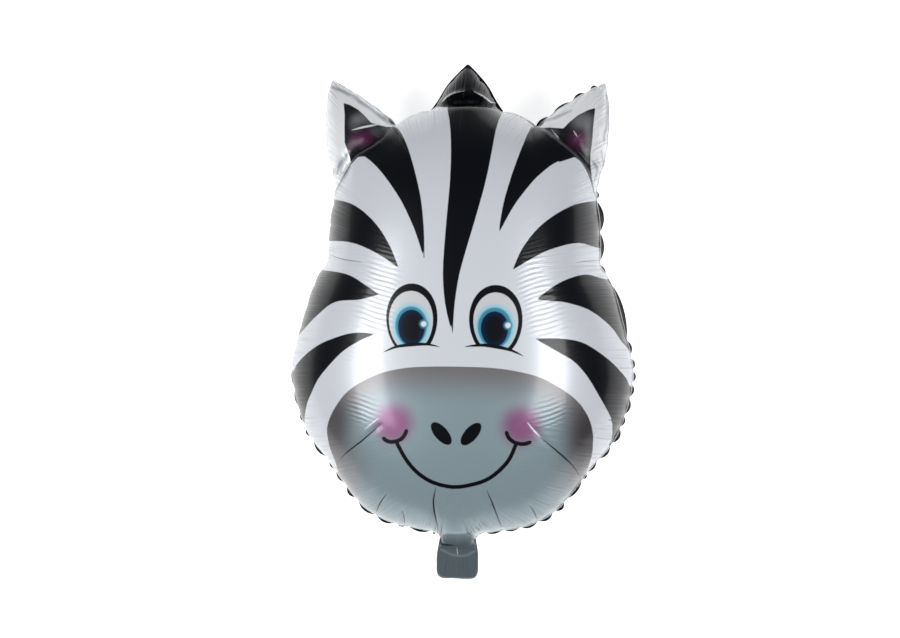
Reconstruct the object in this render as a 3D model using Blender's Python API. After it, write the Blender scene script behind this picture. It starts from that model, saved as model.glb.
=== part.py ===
"""Zebra head foil balloon, blown up and lying on its back, face up.

Metres. +X is the viewer's right, +Y runs from the chin to the mane, +Z points out of the face.
Two sheets of film are welded along the outline. Each sheet rises from the weld like a skin under even
pressure, and the weld gathers it into puckers. The origin lies under the middle of the balloon.
"""

import math

import bpy
import numpy as np
from mathutils import Vector
from mathutils.geometry import delaunay_2d_cdt

# Overall sizes
HEIGHT = 0.600  # from the tail's end to the mane's tip
DEPTH = 0.220  # from film to film, before the resting spot is pressed flat
REST_PRESS = 0.0010  # how far the back is pressed flat where it lies on the ground

# Outline, right half, clockwise: shares of the height, from the middle line and from the middle
MANE = ((0.0, 0.500), (0.0133, 0.488), (0.040, 0.458), (0.058, 0.428), (0.070, 0.410))
CROWN = (MANE[-1], (0.105, 0.4015), (0.140, 0.380))
EAR_INNER = (CROWN[-1], (0.155, 0.398), (0.1913, 0.425), (0.236, 0.453), (0.268, 0.468))
EAR_OUTER = (
    EAR_INNER[-1],
    (0.277, 0.425),
    (0.278, 0.368),
    (0.272, 0.315),
    (0.2615, 0.277),
    (0.258, 0.245),
    (0.265, 0.193),
    (0.267, 0.142),
    (0.267, 0.113),
)
CHEEK = (
    EAR_OUTER[-1],
    (0.290, 0.078),
    (0.312, 0.008),
    (0.330, -0.062),
    (0.335, -0.097),
    (0.323, -0.165),
    (0.298, -0.228),
    (0.258, -0.277),
)
MUZZLE = (
    CHEEK[-1],
    (0.2325, -0.313),
    (0.1886, -0.365),
    (0.134, -0.395),
    (0.070, -0.408),
    (0.0425, -0.415),
    (0.036, -0.430),
)
TAIL = (MUZZLE[-1], (0.041, -0.460), (0.041, -0.4865), (0.037, -0.496), (0.0275, -0.500), (0.0, -0.500))

# Long creases, right half: start, end and half width in shares of the height, depth in metres
CREASES = (
    ((0.133, 0.377), (0.253, 0.250), 0.022, 0.012),  # between the head and the ear
    ((0.000, 0.417), (0.060, 0.417), 0.015, 0.010),  # at the mane's foot
    ((0.267, 0.117), (0.203, 0.122), 0.013, 0.005),  # in from the waist
    ((0.250, -0.280), (0.160, -0.220), 0.015, 0.004),  # in from the jaw
    ((0.043, -0.410), (0.055, -0.340), 0.012, 0.005),  # up from the side of the tail
)

# Film and seam
FLANGE_WIDTH = 0.006
FLANGE_THICKNESS = 0.0012
TAIL_THICKNESS = 0.0024
TAIL_FLAT_LENGTH = 0.034  # from the tail's end up to where the film starts to rise
TAIL_RISE = 0.026  # length over which it rises
GATHER_PITCH = 0.025
GATHER_DEPTH = 0.0026
GATHER_REACH = 0.016
CREASE_EASE = 0.006  # how far in from the weld a long crease reaches its depth

# Spacing of the surface's points
STEPS_PER_GATHER = 4
STEPS_PER_SPAN = 24
RING_STEPS = (0.0016, 0.0055, 0.0120)  # rings inside the weld, where the film is steep
LATTICE = 0.0120


def clear_scene():
    """Removes whatever the scene starts with."""
    for old in list(bpy.data.objects):
        bpy.data.objects.remove(old, do_unlink=True)


def smooth_run(shares, count):
    """Evenly spaced points of a smooth curve through the given ones, ends included.

    Each span is a cubic whose slope at a point follows the chord between the point's two neighbours.
    """
    knots = HEIGHT * np.array(shares)
    padded = np.vstack([2 * knots[0] - knots[1], knots, 2 * knots[-1] - knots[-2]])
    share = np.linspace(0.0, 1.0, STEPS_PER_SPAN, endpoint=False)[:, None]
    spans = []
    for before, start, end, after in zip(padded, padded[1:], padded[2:], padded[3:]):
        length = np.linalg.norm(end - start)
        leave = (end - before) * length / (np.linalg.norm(start - before) + length)
        arrive = (after - start) * length / (np.linalg.norm(after - end) + length)
        spans.append(
            (2 * share**3 - 3 * share**2 + 1) * start
            + (share**3 - 2 * share**2 + share) * leave
            + (3 * share**2 - 2 * share**3) * end
            + (share**3 - share**2) * arrive
        )
    fine = np.vstack(spans + [knots[-1:]])
    travelled = np.concatenate([[0.0], np.cumsum(np.linalg.norm(np.diff(fine, axis=0), axis=1))])
    wanted = np.linspace(0.0, travelled[-1], count + 1)
    return np.column_stack([np.interp(wanted, travelled, fine[:, axis]) for axis in (0, 1)])


def outline():
    """The whole outline clockwise from the mane's tip. Every gather of the seam has as many points."""
    right = [HEIGHT * np.array(MANE[:1])]
    for run in (MANE, CROWN, EAR_INNER, EAR_OUTER, CHEEK, MUZZLE, TAIL):
        length = HEIGHT * np.sum(np.linalg.norm(np.diff(np.array(run), axis=0), axis=1))
        gathers = max(2, round(length / GATHER_PITCH))
        right.append(smooth_run(run, gathers * STEPS_PER_GATHER)[1:])
    right = np.vstack(right)
    left = right[-2:0:-1] * (-1.0, 1.0)
    return np.vstack([right, left])


def outward_directions(loop):
    """Flat unit directions that point out of the outline at each of its points."""
    along = np.roll(loop, -1, axis=0) - np.roll(loop, 1, axis=0)
    outward = np.column_stack([-along[:, 1], along[:, 0]])
    return outward / np.linalg.norm(outward, axis=1)[:, None]


def nearest_rim(places, loop):
    """Each place's distance from the outline, and where along it the nearest point lies, counted in steps."""
    step = np.roll(loop, -1, axis=0) - loop
    offset = places[:, None] - loop
    share = np.clip(np.sum(offset * step, axis=2) / np.sum(step * step, axis=1), 0.0, 1.0)
    distance = np.linalg.norm(offset - share[:, :, None] * step, axis=2)
    nearest = np.argmin(distance, axis=1)
    row = np.arange(len(places))
    return distance[row, nearest], nearest + share[row, nearest]


def inside(places, loop):
    """Whether each place lies inside the outline: a line from it to the left crosses an odd number of steps."""
    ahead = np.roll(loop, -1, axis=0)
    level = places[:, 1:2]
    spans = (loop[:, 1] > level) != (ahead[:, 1] > level)
    rise = np.where(spans, ahead[:, 1] - loop[:, 1], 1.0)
    crossing = loop[:, 0] + (ahead[:, 0] - loop[:, 0]) * (level - loop[:, 1]) / rise
    return np.sum(spans & (crossing < places[:, :1]), axis=1) % 2 == 1


def film_grid(loop):
    """One film laid flat: its points, the outline's first, and the triangles between them.

    Rings follow the weld closely where the film is steep, and a lattice of even triangles fills the rest.
    """
    points = [loop]
    for step in (0.0,) + RING_STEPS:
        way_in = FLANGE_WIDTH + step
        ring = loop - way_in * outward_directions(loop)
        kept = inside(ring, loop) & (nearest_rim(ring, loop)[0] > 0.97 * way_in)
        points.append(ring[kept])
    across = math.ceil(loop[:, 0].max() / LATTICE)
    columns = LATTICE * np.arange(-across, across + 1)
    rows = np.arange(-0.5 * HEIGHT, 0.5 * HEIGHT, LATTICE * math.sqrt(0.75))
    x, y = np.meshgrid(columns, rows)
    x[1::2] += 0.5 * LATTICE
    middle = np.column_stack([x.ravel(), y.ravel()])
    ring_room = FLANGE_WIDTH + RING_STEPS[-1] + 0.6 * LATTICE
    kept = inside(middle, loop) & (nearest_rim(middle, loop)[0] > ring_room)
    points.append(middle[kept])
    corners = [Vector(point) for point in np.vstack(points).tolist()]
    rim_face = list(range(len(loop)))[::-1]
    laid = delaunay_2d_cdt(corners, [], [rim_face], 1, 1e-6)
    return np.array([tuple(corner) for corner in laid[0]]), np.array(laid[2])


def pressure_height(places, triangles, held):
    """Height of a film under even pressure above each flat place.

    A skin pressed from below bends the same everywhere, so its height solves Poisson's equation with zero
    on the weld. Film doesn't stretch, which makes the sides steeper and the middle flatter.
    """
    stiffness = np.zeros((len(places), len(places)))
    load = np.zeros(len(places))
    corners = places[triangles]
    for turn in range(3):
        tip, left, right = (triangles[:, (turn + step) % 3] for step in range(3))
        to_left = corners[:, (turn + 1) % 3] - corners[:, turn]
        to_right = corners[:, (turn + 2) % 3] - corners[:, turn]
        doubled_area = np.abs(to_left[:, 0] * to_right[:, 1] - to_left[:, 1] * to_right[:, 0])
        weight = 0.5 * np.sum(to_left * to_right, axis=1) / doubled_area
        np.add.at(stiffness, (left, right), -weight)
        np.add.at(stiffness, (right, left), -weight)
        np.add.at(stiffness, (left, left), weight)
        np.add.at(stiffness, (right, right), weight)
        np.add.at(load, tip, doubled_area / 6)
    free = np.flatnonzero(~held)
    swell = np.zeros(len(places))
    swell[free] = np.linalg.solve(stiffness[np.ix_(free, free)], load[free])
    swell = np.clip(swell / swell.max(), 0.0, 1.0)
    return 0.5 * DEPTH * np.sqrt(1 - (1 - swell) ** 1.5)


def ease(value):
    """0 below 0, 1 above 1, and a smooth step between."""
    share = np.clip(value, 0.0, 1.0)
    return share * share * (3 - 2 * share)


def gather_depth(count, way_in):
    """Depth of the seam's puckers: a sharp valley at each whole count, fading away from the weld."""
    valley = (1 - np.abs(np.sin(math.pi * count))) ** 1.3
    whole = np.round(count)
    strength = 0.65 + 0.35 * np.sin(1.7 * whole)
    reach = GATHER_REACH * (1.3 + 0.7 * np.sin(2.4 * whole))
    return GATHER_DEPTH * strength * valley * np.exp(-way_in / reach)


def crease_depth(places):
    """Depth of the long creases at each place: deepest on the crease's line, fading to its sides and ends."""
    mirrored = np.column_stack([np.abs(places[:, 0]), places[:, 1]])
    total = np.zeros(len(places))
    for start, end, half_width, depth in CREASES:
        run = HEIGHT * (np.array(end) - start)
        offset = mirrored - HEIGHT * np.array(start)
        share = np.clip(offset @ run / (run @ run), 0.0, 1.0)
        aside = np.linalg.norm(offset - share[:, None] * run, axis=1)
        total += depth * np.exp(-((aside / (HEIGHT * half_width)) ** 1.5))
    return total


def point_normals(points, triangles):
    """Unit normals averaged from the triangles round each point."""
    corners = points[triangles]
    faces = np.cross(corners[:, 1] - corners[:, 0], corners[:, 2] - corners[:, 0])
    normals = np.zeros_like(points)
    for corner in range(3):
        np.add.at(normals, triangles[:, corner], faces)
    return normals / np.linalg.norm(normals, axis=1)[:, None]


def blown_film():
    """The upper film, its weld at height zero: points, triangles and how many points the edge has."""
    loop = outline()
    places, triangles = film_grid(loop)
    to_edge, along = nearest_rim(places, loop)
    flange = to_edge < FLANGE_WIDTH * 1.01
    calm = ease((places[:, 1] + 0.5 * HEIGHT - TAIL_FLAT_LENGTH) / TAIL_RISE)
    film = np.column_stack([places, calm * pressure_height(places, triangles, flange)])

    normals = point_normals(film, triangles)
    outward = outward_directions(loop)[np.round(along[flange]).astype(int) % len(loop)]
    normals[flange] = np.column_stack([outward, np.zeros(len(outward))])
    way_in = np.maximum(to_edge - FLANGE_WIDTH, 0.0)
    depth = gather_depth(along / STEPS_PER_GATHER, way_in)
    depth += crease_depth(places) * ease(way_in / CREASE_EASE)
    film -= normals * (calm * depth)[:, None]

    film[:, 2] = np.maximum(film[:, 2], 0.0) + 0.5 * FLANGE_THICKNESS
    film[~flange, 2] += 0.5 * (TAIL_THICKNESS - FLANGE_THICKNESS) * (1 - calm[~flange])
    film[:, 1] -= 0.5 * (film[:, 1].min() + film[:, 1].max())
    return film, triangles, len(loop)


def film_material():
    """White pearl print on metallised film."""
    material = bpy.data.materials.new("printed_film")
    material.use_nodes = True
    shader = material.node_tree.nodes["Principled BSDF"]
    shader.inputs["Base Color"].default_value = (0.74, 0.77, 0.80, 1.0)
    shader.inputs["Roughness"].default_value = 0.22
    shader.inputs["Metallic"].default_value = 0.5
    return material


def make_balloon():
    """Both films and the seam's thin edge as one closed object, resting on its flat spot."""
    film, triangles, rim = blown_film()
    seam_height = 0.5 * (DEPTH + FLANGE_THICKNESS) - REST_PRESS
    front = film + (0.0, 0.0, seam_height)
    back = film * (1.0, 1.0, -1.0) + (0.0, 0.0, seam_height)
    back[:, 2] = np.maximum(back[:, 2], 0.0)
    edge = np.arange(rim)
    ahead = np.roll(edge, -1)
    below, below_ahead = edge + len(film), ahead + len(film)
    wall = [np.column_stack([edge, ahead, below_ahead]), np.column_stack([edge, below_ahead, below])]
    faces = np.vstack([triangles, triangles[:, ::-1] + len(film)] + wall)

    mesh = bpy.data.meshes.new("foil_balloon")
    mesh.from_pydata(np.vstack([front, back]).tolist(), [], faces.tolist())
    mesh.materials.append(film_material())
    mesh.shade_smooth()
    mesh.set_sharp_from_angle(angle=math.radians(50))
    balloon = bpy.data.objects.new("foil_balloon", mesh)
    bpy.context.scene.collection.objects.link(balloon)


clear_scene()
make_balloon()
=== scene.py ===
# %% [markdown]
# # A foil balloon shaped as a zebra's head
# The real balloon is two sheets of thin metallised film, printed, welded together along one outline and
# blown up. It lies on its back with the printed face up. This lesson dresses the plain solid balloon with
# the film's fine surface: the gathers along the weld, the long creases, the dark seam edge and the print.
# Everything is worked out with numpy from a few sizes, so that a learner can change one and see what moves.

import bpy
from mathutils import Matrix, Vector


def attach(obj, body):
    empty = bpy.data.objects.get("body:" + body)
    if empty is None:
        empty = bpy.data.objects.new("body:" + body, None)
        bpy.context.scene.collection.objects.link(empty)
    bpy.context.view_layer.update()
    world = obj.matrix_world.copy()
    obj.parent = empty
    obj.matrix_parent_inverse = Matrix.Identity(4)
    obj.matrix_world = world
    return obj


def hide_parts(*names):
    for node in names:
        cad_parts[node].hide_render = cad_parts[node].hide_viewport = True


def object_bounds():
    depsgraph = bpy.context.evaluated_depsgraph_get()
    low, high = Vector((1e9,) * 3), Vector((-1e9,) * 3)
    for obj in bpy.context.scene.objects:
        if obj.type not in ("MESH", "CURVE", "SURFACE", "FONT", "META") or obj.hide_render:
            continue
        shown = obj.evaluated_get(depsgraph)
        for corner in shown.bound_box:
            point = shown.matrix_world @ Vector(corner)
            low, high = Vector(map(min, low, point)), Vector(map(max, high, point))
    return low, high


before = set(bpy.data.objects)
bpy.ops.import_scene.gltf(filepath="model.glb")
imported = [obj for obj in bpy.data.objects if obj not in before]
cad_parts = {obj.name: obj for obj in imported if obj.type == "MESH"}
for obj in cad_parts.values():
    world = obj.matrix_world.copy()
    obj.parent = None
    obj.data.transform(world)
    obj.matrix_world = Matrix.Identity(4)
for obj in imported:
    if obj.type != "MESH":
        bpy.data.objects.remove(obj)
solid_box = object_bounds()
print("the solid balloon reaches from", tuple(solid_box[0]), "to", tuple(solid_box[1]))

# %% Modules
import math

import bpy
import numpy as np
from mathutils import Matrix, Vector

# %% [markdown]
# ## The camera's place
# The print was measured on a picture of the balloon, so the places of stripes and eyes are in that
# picture's pixels. The camera comes first, because it says which point of the film is at which pixel.
# It looks down on the balloon from a little to the right, with a long lens.

# %% Camera values
PICTURE = np.array([900.0, 638.0])  # pixels across and down
PIXELS_PER_METRE = 861.7  # at the seam's height
MIDDLE_PIXEL = np.array([462.5, 321.85])  # where the middle of the seam shows
CAMERA_DISTANCE = 2.6
CAMERA_LEAN = math.radians(6.0)  # from straight above towards the balloon's right
CAMERA_ROLL = math.radians(1.22)
SENSOR_WIDTH = 36.0

SEAM_HEIGHT = 0.1096
ACROSS = np.array([math.cos(CAMERA_LEAN), 0.0, -math.sin(CAMERA_LEAN)])
UPWARDS = np.array([0.0, 1.0, 0.0])
TOWARDS = np.array([math.sin(CAMERA_LEAN), 0.0, math.cos(CAMERA_LEAN)])
RIGHT = math.cos(CAMERA_ROLL) * ACROSS + math.sin(CAMERA_ROLL) * UPWARDS
UP = math.cos(CAMERA_ROLL) * UPWARDS - math.sin(CAMERA_ROLL) * ACROSS
AIM = (MIDDLE_PIXEL - 0.5 * PICTURE) / PIXELS_PER_METRE
CAMERA_PLACE = np.array([0.0, 0.0, SEAM_HEIGHT]) + CAMERA_DISTANCE * TOWARDS - AIM[0] * RIGHT + AIM[1] * UP


def picture_places(points):
    """Pixels at which points show: their offsets to the right and down, divided by their depth."""
    offset = points - CAMERA_PLACE
    scale = PIXELS_PER_METRE * CAMERA_DISTANCE / -(offset @ TOWARDS)
    return 0.5 * PICTURE + np.stack([offset @ RIGHT * scale, -(offset @ UP) * scale], axis=-1)


print("the seam's middle shows at", picture_places(np.array([0.0, 0.0, SEAM_HEIGHT])))

# %% Place the camera
lens = bpy.data.cameras.new("camera")
lens.sensor_width = SENSOR_WIDTH
lens.lens = SENSOR_WIDTH * PIXELS_PER_METRE * CAMERA_DISTANCE / PICTURE[0]
camera = bpy.data.objects.new("camera", lens)
camera_turn = Matrix(np.column_stack([RIGHT, UP, TOWARDS]))
camera.matrix_world = Matrix.Translation(CAMERA_PLACE) @ camera_turn.to_4x4()
bpy.context.scene.collection.objects.link(camera)
bpy.context.scene.camera = camera
print("lens of", round(lens.lens), "mm")

# %% [markdown]
# ## The outline
# The film is cut to a zebra's head: a mane tuft on top, two ears, round cheeks, a muzzle and the tail
# through which it is filled. Each stretch is a smooth curve through a few points, given for the right half
# as shares of the height, and the left half is its mirror image. It could be drawn by hand as one curve
# object, but shares keep it in proportion when the height changes.

# %% Outline values
HEIGHT = 0.600
DEPTH = 0.220
MANE = ((0.0, 0.500), (0.0133, 0.488), (0.040, 0.458), (0.058, 0.428), (0.070, 0.410))
CROWN = (MANE[-1], (0.105, 0.4015), (0.140, 0.380))
EAR_INNER = (CROWN[-1], (0.155, 0.398), (0.1913, 0.425), (0.236, 0.453), (0.268, 0.468))
EAR_OUTER = (
    EAR_INNER[-1],
    (0.277, 0.425),
    (0.278, 0.368),
    (0.272, 0.315),
    (0.2615, 0.277),
    (0.258, 0.245),
    (0.265, 0.193),
    (0.267, 0.142),
    (0.267, 0.113),
)
CHEEK = (
    EAR_OUTER[-1],
    (0.290, 0.078),
    (0.312, 0.008),
    (0.330, -0.062),
    (0.335, -0.097),
    (0.323, -0.165),
    (0.298, -0.228),
    (0.258, -0.277),
)
MUZZLE = (
    CHEEK[-1],
    (0.2325, -0.313),
    (0.1886, -0.365),
    (0.134, -0.395),
    (0.070, -0.408),
    (0.0425, -0.415),
    (0.036, -0.430),
)
TAIL = (MUZZLE[-1], (0.041, -0.460), (0.041, -0.4865), (0.037, -0.496), (0.0275, -0.500), (0.0, -0.500))
GATHER_PITCH = 0.025  # length of seam between two gathers
STEPS_PER_GATHER = 12
STEPS_PER_SPAN = 60


def smooth_curve(knots, count):
    """Evenly spaced points of a smooth curve through the knots, ends included.

    Each span is a cubic whose slope at a knot follows the chord between the knot's two neighbours.
    """
    knots = np.asarray(knots, float)
    padded = np.vstack([2 * knots[0] - knots[1], knots, 2 * knots[-1] - knots[-2]])
    share = np.linspace(0.0, 1.0, STEPS_PER_SPAN, endpoint=False)[:, None]
    spans = []
    for before, start, end, after in zip(padded, padded[1:], padded[2:], padded[3:]):
        length = np.linalg.norm(end - start)
        leave = (end - before) * length / (np.linalg.norm(start - before) + length)
        arrive = (after - start) * length / (np.linalg.norm(after - end) + length)
        spans.append(
            (2 * share**3 - 3 * share**2 + 1) * start
            + (share**3 - 2 * share**2 + share) * leave
            + (3 * share**2 - 2 * share**3) * end
            + (share**3 - share**2) * arrive
        )
    fine = np.vstack(spans + [knots[-1:]])
    travelled = np.concatenate([[0.0], np.cumsum(np.linalg.norm(np.diff(fine, axis=0), axis=1))])
    wanted = np.linspace(0.0, travelled[-1], count + 1)
    return np.column_stack([np.interp(wanted, travelled, fine[:, axis]) for axis in (0, 1)])


# %% Lay out the outline
RUNS = (MANE, CROWN, EAR_INNER, EAR_OUTER, CHEEK, MUZZLE, TAIL)
run_steps = []
right_half = [HEIGHT * np.array(MANE[:1])]
for run in RUNS:
    knots = HEIGHT * np.array(run)
    length = np.sum(np.linalg.norm(np.diff(knots, axis=0), axis=1))
    steps = STEPS_PER_GATHER * max(2, round(length / GATHER_PITCH))
    run_steps.append(steps)
    right_half.append(smooth_curve(knots, steps)[1:])
right_half = np.vstack(right_half)
rim = np.vstack([right_half, right_half[-2:0:-1] * (-1.0, 1.0)])
AROUND = len(rim)
HALF_WAY = AROUND // 2
print(AROUND, "points on the outline,", AROUND // STEPS_PER_GATHER, "gathers")

# %% [markdown]
# ## Rays and rings
# The film is laid out as a grid with two parameters. One runs along the outline, and the other runs inwards
# on straight rays that end on a spine down the middle of the face. Wrinkles in a real balloon start at the
# weld and run inwards, so they follow the rays, and a grid of this kind carries them with few points.

# %% Grid values
SPINE_HEIGHTS = (0.175, 0.172, 0.170, 0.160, 0.085, -0.225, -0.315, -0.325)  # at the ends of the runs
EDGE_WIDTH = 0.0028  # from the outline in to the line where the film rises
LEAST_INWARD = 0.35  # a ray counts as at least this much inward, so that the weld stays even at corners
WELD_SMOOTHINGS = 3
RINGS = 104
EVEN_SHARE = 0.1  # part of the ring spacing that is even


def outward_directions(loop):
    """Flat unit directions that point out of a clockwise loop: the direction along it, turned left."""
    along = np.roll(loop, -1, axis=0) - np.roll(loop, 1, axis=0)
    outward = np.column_stack([-along[:, 1], along[:, 0]])
    return outward / np.linalg.norm(outward, axis=1)[:, None]


def flat_grid(rings):
    """Flat places of the film, ring by ring from the weld to the spine, and their way in from the weld.

    The share of a ray grows mostly as one less the cosine, so rings lie close where the film is steep.
    """
    run_ends = np.concatenate([[0], np.cumsum(run_steps)])
    spine_y = np.interp(np.arange(HALF_WAY + 1), run_ends, HEIGHT * np.array(SPINE_HEIGHTS))
    spine_y = np.concatenate([spine_y, spine_y[-2:0:-1]])
    ray = np.column_stack([np.zeros(AROUND), spine_y]) - rim
    ray_length = np.linalg.norm(ray, axis=1)
    inward = np.maximum(-np.sum(ray * outward_directions(rim), axis=1), LEAST_INWARD * ray_length)
    weld = EDGE_WIDTH / inward
    for _ in range(WELD_SMOOTHINGS):
        weld = 0.25 * np.roll(weld, 1) + 0.5 * weld + 0.25 * np.roll(weld, -1)
    even = np.linspace(0.0, 1.0, rings + 1)
    share = (EVEN_SHARE * even + (1 - EVEN_SHARE) * (1 - np.cos(0.5 * math.pi * even)))[:, None]
    share = weld + (1 - weld) * share
    places = rim + share[:, :, None] * ray
    return places, (share - weld) * ray_length


places, way_in = flat_grid(RINGS)
print("grid of", places.shape[0], "rings and", places.shape[1], "rays")

# %% [markdown]
# ## Height under pressure
# A skin pressed evenly from below bends the same everywhere: its height solves Poisson's equation, with zero
# at the weld. Instead of solving it on the grid, the height is written as a bowl plus the logarithm of the
# distance from many points that stand just outside the weld, each with its own weight. The weights come
# from one least squares fit. Film can't stretch, so its sides are steeper and its middle is flatter.

# %% Height values
SOURCE_STEPS = 5  # one source for so many points of the outline
SOURCE_AWAY = 0.005  # how far outside the outline the sources stand
TAIL_FLAT_LENGTH = 0.034
TAIL_RISE = 0.026
TAIL_THICKNESS = 0.0026
FULLNESS = 1.5  # a higher power makes a flatter middle and steeper sides

sources = (rim + SOURCE_AWAY * outward_directions(rim))[::SOURCE_STEPS]
weld_line = places[0]


def ease(value):
    """0 below 0, 1 above 1, and a smooth step between."""
    share = np.clip(value, 0.0, 1.0)
    return share * share * (3 - 2 * share)


def source_terms(spots):
    """Logarithm of the distance from each spot to each source."""
    square = (spots[:, None, 0] - sources[:, 0]) ** 2 + (spots[:, None, 1] - sources[:, 1]) ** 2
    return 0.5 * np.log(square)


def bowl(spots):
    """The part of the swelling that pressure alone gives."""
    return -0.25 * np.sum(spots * spots, axis=1)


held = weld_line[::2]
weights = np.linalg.lstsq(source_terms(held), -bowl(held), rcond=1e-9)[0]


def pressure_height(grid):
    """Height above the weld: half the depth times the root of one less a power of the unfilled share."""
    spots = grid.reshape(-1, 2)
    swell = (bowl(spots) + source_terms(spots) @ weights).reshape(grid.shape[:2])
    swell[0] = 0.0
    swell = np.clip(swell / swell.max(), 0.0, 1.0)
    return 0.5 * DEPTH * np.sqrt(1 - (1 - swell) ** FULLNESS)


def tail_ease(grid):
    """0 on the flat filling tail, 1 on the blown up head."""
    return ease((grid[:, :, 1] + 0.5 * HEIGHT - TAIL_FLAT_LENGTH) / TAIL_RISE)


calm = tail_ease(places)
height = calm * pressure_height(places)
print("highest point", round(1000 * height.max(), 1), "mm above the weld")

# %% [markdown]
# ## Where the print and the creases are
# Stripes and creases are given at the picture's pixels. Each point of the smooth film is carried into the
# picture, and from there on a shape is a question of distance: how far inside a stripe's edge is it, and
# how far from a crease's line.

# %% Carry the film into the picture
LIFT = np.array([0.0, 0.5 * HEIGHT + solid_box[0].y, SEAM_HEIGHT])
smooth_film = np.dstack([places, height]) + LIFT
pixels = picture_places(smooth_film.reshape(-1, 3))


def inside_distance(spots, corners):
    """Distance in from the edge of a closed shape, negative outside: the least distance from its sides.

    A spot is inside when a line from it to the left crosses an odd number of sides.
    """
    nearest = np.full(len(spots), np.inf)
    crossings = np.zeros(len(spots), int)
    for start, end in zip(corners, np.roll(corners, -1, axis=0)):
        side = end - start
        offset = spots - start
        share = np.clip(offset @ side / max(side @ side, 1e-12), 0.0, 1.0)
        nearest = np.minimum(nearest, np.linalg.norm(offset - share[:, None] * side, axis=1))
        if start[1] != end[1]:
            spans = (spots[:, 1] > min(start[1], end[1])) & (spots[:, 1] <= max(start[1], end[1]))
            crossings += spans & (start[0] + offset[:, 1] * side[0] / side[1] < spots[:, 0])
    return np.where(crossings % 2 == 1, nearest, -nearest)


def line_distance(spots, corners):
    """Signed distance from an open line, positive on its left, and how far along it the nearest point is."""
    lengths = np.linalg.norm(np.diff(corners, axis=0), axis=1)
    travelled = np.concatenate([[0.0], np.cumsum(lengths)])
    best = np.full(len(spots), np.inf)
    signed = np.zeros(len(spots))
    along = np.zeros(len(spots))
    for start, end, length, before in zip(corners, corners[1:], lengths, travelled):
        direction = (end - start) / length
        offset = spots - start
        run = np.clip(offset @ direction, 0.0, length)
        gap = np.linalg.norm(offset - run[:, None] * direction, axis=1)
        closer = gap < best
        side = np.sign(direction[0] * offset[:, 1] - direction[1] * offset[:, 0])
        best = np.where(closer, gap, best)
        signed = np.where(closer, side * gap, signed)
        along = np.where(closer, (before + run) / travelled[-1], along)
    return signed, along


print("face spans", pixels.min(axis=0).round(1), "to", pixels.max(axis=0).round(1))

# %% [markdown]
# ## The black print
# Five pairs of stripes start at the rim and run to a point. Each is given by its two edges, from the rim to
# the tip. They differ a little from left to right, as they do on the real print.

# %% Stripes, as pixel places of their edges from the rim to the tip
MIDDLE_STRIPE = (
    ((446, 90), (447, 106), (449.9, 124), (451, 150), (450, 180), (446.9, 215), (444, 250),
     (442.9, 275), (444.6, 300), (448.5, 320), (452.8, 334)),
    ((504.5, 90), (503, 112), (497.5, 123), (492.1, 150), (486, 180), (476.4, 215), (466, 250),
     (459.2, 275), (455.1, 300), (453.4, 320), (452.8, 334)),
)
STRIPES = (
    MIDDLE_STRIPE,
    (
        ((350.5, 160), (355.5, 154.5), (361.5, 154.5), (375, 165), (387.5, 180), (400.7, 200),
         (408.2, 215), (414.7, 230), (421.4, 250), (424.5, 260)),
        ((386.5, 131), (396.5, 127.5), (402.5, 135.5), (408.7, 150), (413.2, 165), (417, 180),
         (421.1, 200), (423.9, 230), (424.5, 260)),
    ),
    (
        ((534.5, 124), (530, 129), (520.9, 150), (515.2, 165), (510.1, 180), (504.3, 200), (501.2, 215),
         (498.5, 234)),
        ((585.5, 165), (579.5, 159), (572.5, 157.2), (562.5, 159.5), (551.4, 165), (541.5, 173),
         (534, 180), (517.9, 200), (508.5, 215), (498.5, 234)),
    ),
    (
        ((300, 196), (331, 199), (353, 204.5), (373.5, 221), (388.4, 243), (399, 268)),
        ((300, 243), (329, 241), (353, 243), (378, 254), (399, 268)),
    ),
    (
        ((630, 198), (594, 201), (571, 206), (542, 224.5), (522.5, 248), (512.6, 270)),
        ((630, 254), (598, 248), (578, 243), (549, 250), (531, 259), (512.6, 270)),
    ),
    (
        ((300, 268), (327, 270.6), (349, 275), (367, 286), (379.5, 294.5)),
        ((290, 346), (306, 327), (316, 316.5), (334.5, 302.3), (360, 299.5), (379.5, 294.5)),
    ),
    (
        ((635, 281), (603.5, 278.5), (585, 274.5), (562, 281.5), (547, 291), (536.5, 299.5)),
        ((640, 362), (623.5, 344), (611, 327), (590, 310.5), (566, 302.5), (550, 300.8),
         (536.5, 299.5)),
    ),
    (
        ((275, 405), (290, 377), (297, 364), (308, 352.5), (321, 343.5), (333, 338.5), (347, 334),
         (360, 332.5), (376, 334)),
        ((306, 440), (304.6, 418.5), (307.5, 402), (311, 394), (317, 381), (323, 372.5), (333, 361),
         (342, 352), (352, 345), (364, 338.5), (376, 334)),
    ),
    (
        ((650, 404), (632, 389), (626, 378), (613.6, 364), (598, 351.5), (581, 342), (560, 338.5),
         (534.5, 338.5)),
        ((604, 475), (608, 452), (612, 435), (612, 421), (607, 410), (598, 394), (587, 376),
         (574, 361.5), (560, 353), (534.5, 338.5)),
    ),
)
NOSTRILS = ((441.3, 433.5, 1), (471.0, 434.0, -1))  # middle, and which way the lower end leans
NOSTRIL_LONG = 14.0
NOSTRIL_SHORT = 6.6
NOSTRIL_LEAN = math.radians(49)
MANE_PATCH = np.array([
    (422, 108), (433, 106.5), (441, 104.5), (475, 103.5), (494, 105.5), (504, 109), (514, 111), (520, 50),
    (420, 50),
], float)


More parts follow.
